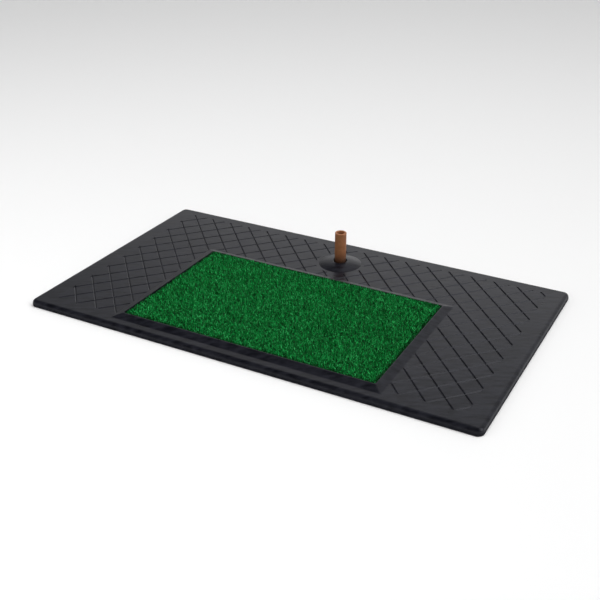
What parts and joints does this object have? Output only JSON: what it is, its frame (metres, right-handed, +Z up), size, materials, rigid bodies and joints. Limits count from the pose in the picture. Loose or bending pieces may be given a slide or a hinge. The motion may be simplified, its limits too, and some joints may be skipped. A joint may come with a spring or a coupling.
{
  "type": "golf hitting mat",
  "caption": "Flat moulded rubber practice mat with a grooved diamond surface, a turf insert in a raised platform and a flexible rubber tee in a boss.",
  "frame": {"origin": "middle of the flat underside", "axes": "+X along the mat's long side, +Y away from the player towards the tee, +Z up out of the turf"},
  "size_m": [0.61, 0.354, 0.0557],
  "materials": {
    "mat_rubber": "satin moulded black rubber",
    "turf_pile": "short dense curled nylon pile",
    "turf_backing": "matt latex-coated woven backing",
    "adhesive": "translucent contact adhesive film",
    "tee_rubber": "matt brown gum rubber"
  },
  "bodies": {
    "mat": {"base_mat": "mat_rubber", "turf_adhesive": "adhesive", "turf_backing": "turf_backing", "turf_pile": "turf_pile", "tee_foot": "tee_rubber"},
    "tee": {"tee_tube": "tee_rubber"}
  },
  "joints": [
    {"name": "tee_bend", "type": "hinge", "parent": "mat", "child": "tee", "pos_m": [0, 0.112, 0.019], "axis": [0, 1, 0], "range_deg": [-60, 60], "stiffness_Nm_per_rad": 0.6}
  ]
}
